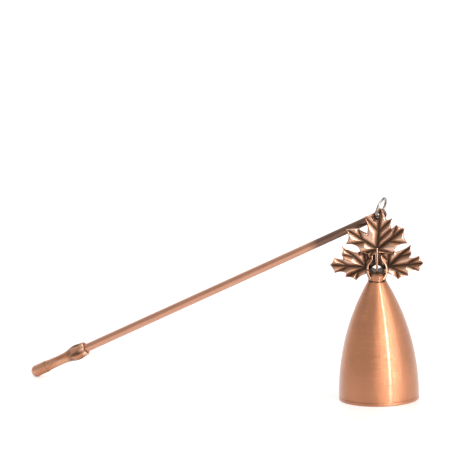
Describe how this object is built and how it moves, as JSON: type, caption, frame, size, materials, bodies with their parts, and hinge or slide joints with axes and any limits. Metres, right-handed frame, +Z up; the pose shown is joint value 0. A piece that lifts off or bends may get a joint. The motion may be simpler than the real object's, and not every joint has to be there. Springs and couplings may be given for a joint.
{
  "type": "candle snuffer",
  "caption": "Bell-shaped copper cup crowned by maple leaves, loosely linked by a jump ring to a long round handle with a cast grip.",
  "frame": {"origin": "centre of the cup's mouth, on the surface that it stands on", "axes": "+Z up along the cup's axis, -Y the way the leaves face, +X to the right of the leaves, with the handle lying towards -X"},
  "size_m": [0.188, 0.0853, 0.0973],
  "materials": {
    "satin_copper": "antique copper plate, brushed round to a satin and lacquered",
    "cast_copper": "antique copper plate on a casting, dark in the recesses and rubbed bright on the ridges",
    "rod_copper": "antique copper plate, brushed along the rod and left dark near the eye",
    "grip_copper": "antique copper plate on a casting with dark hollows",
    "bright_wire": "bright nickel-plated wire",
    "steel": "plain steel"
  },
  "bodies": {
    "bell": {"bell_cup": "satin_copper", "calyx": "cast_copper", "crown_screw": "steel", "top_leaf": "cast_copper", "right_leaf": "cast_copper", "left_leaf": "cast_copper"},
    "ring": {"jump_ring": "bright_wire"},
    "handle": {"handle_rod": "rod_copper", "grip": "grip_copper"}
  },
  "joints": [
    {"name": "ring_turn", "type": "hinge", "parent": "bell", "child": "ring", "pos_m": [0.0025, -0.00033, 0.09228], "axis": [0.8669, -0.386, -0.3155], "range_deg": [0, 170]},
    {"name": "handle_swing", "type": "hinge", "parent": "ring", "child": "handle", "pos_m": [0.00218, 0.00211, 0.0884], "axis": [0.1963, 0.9358, 0.2927], "range_deg": [0, 85]}
  ]
}
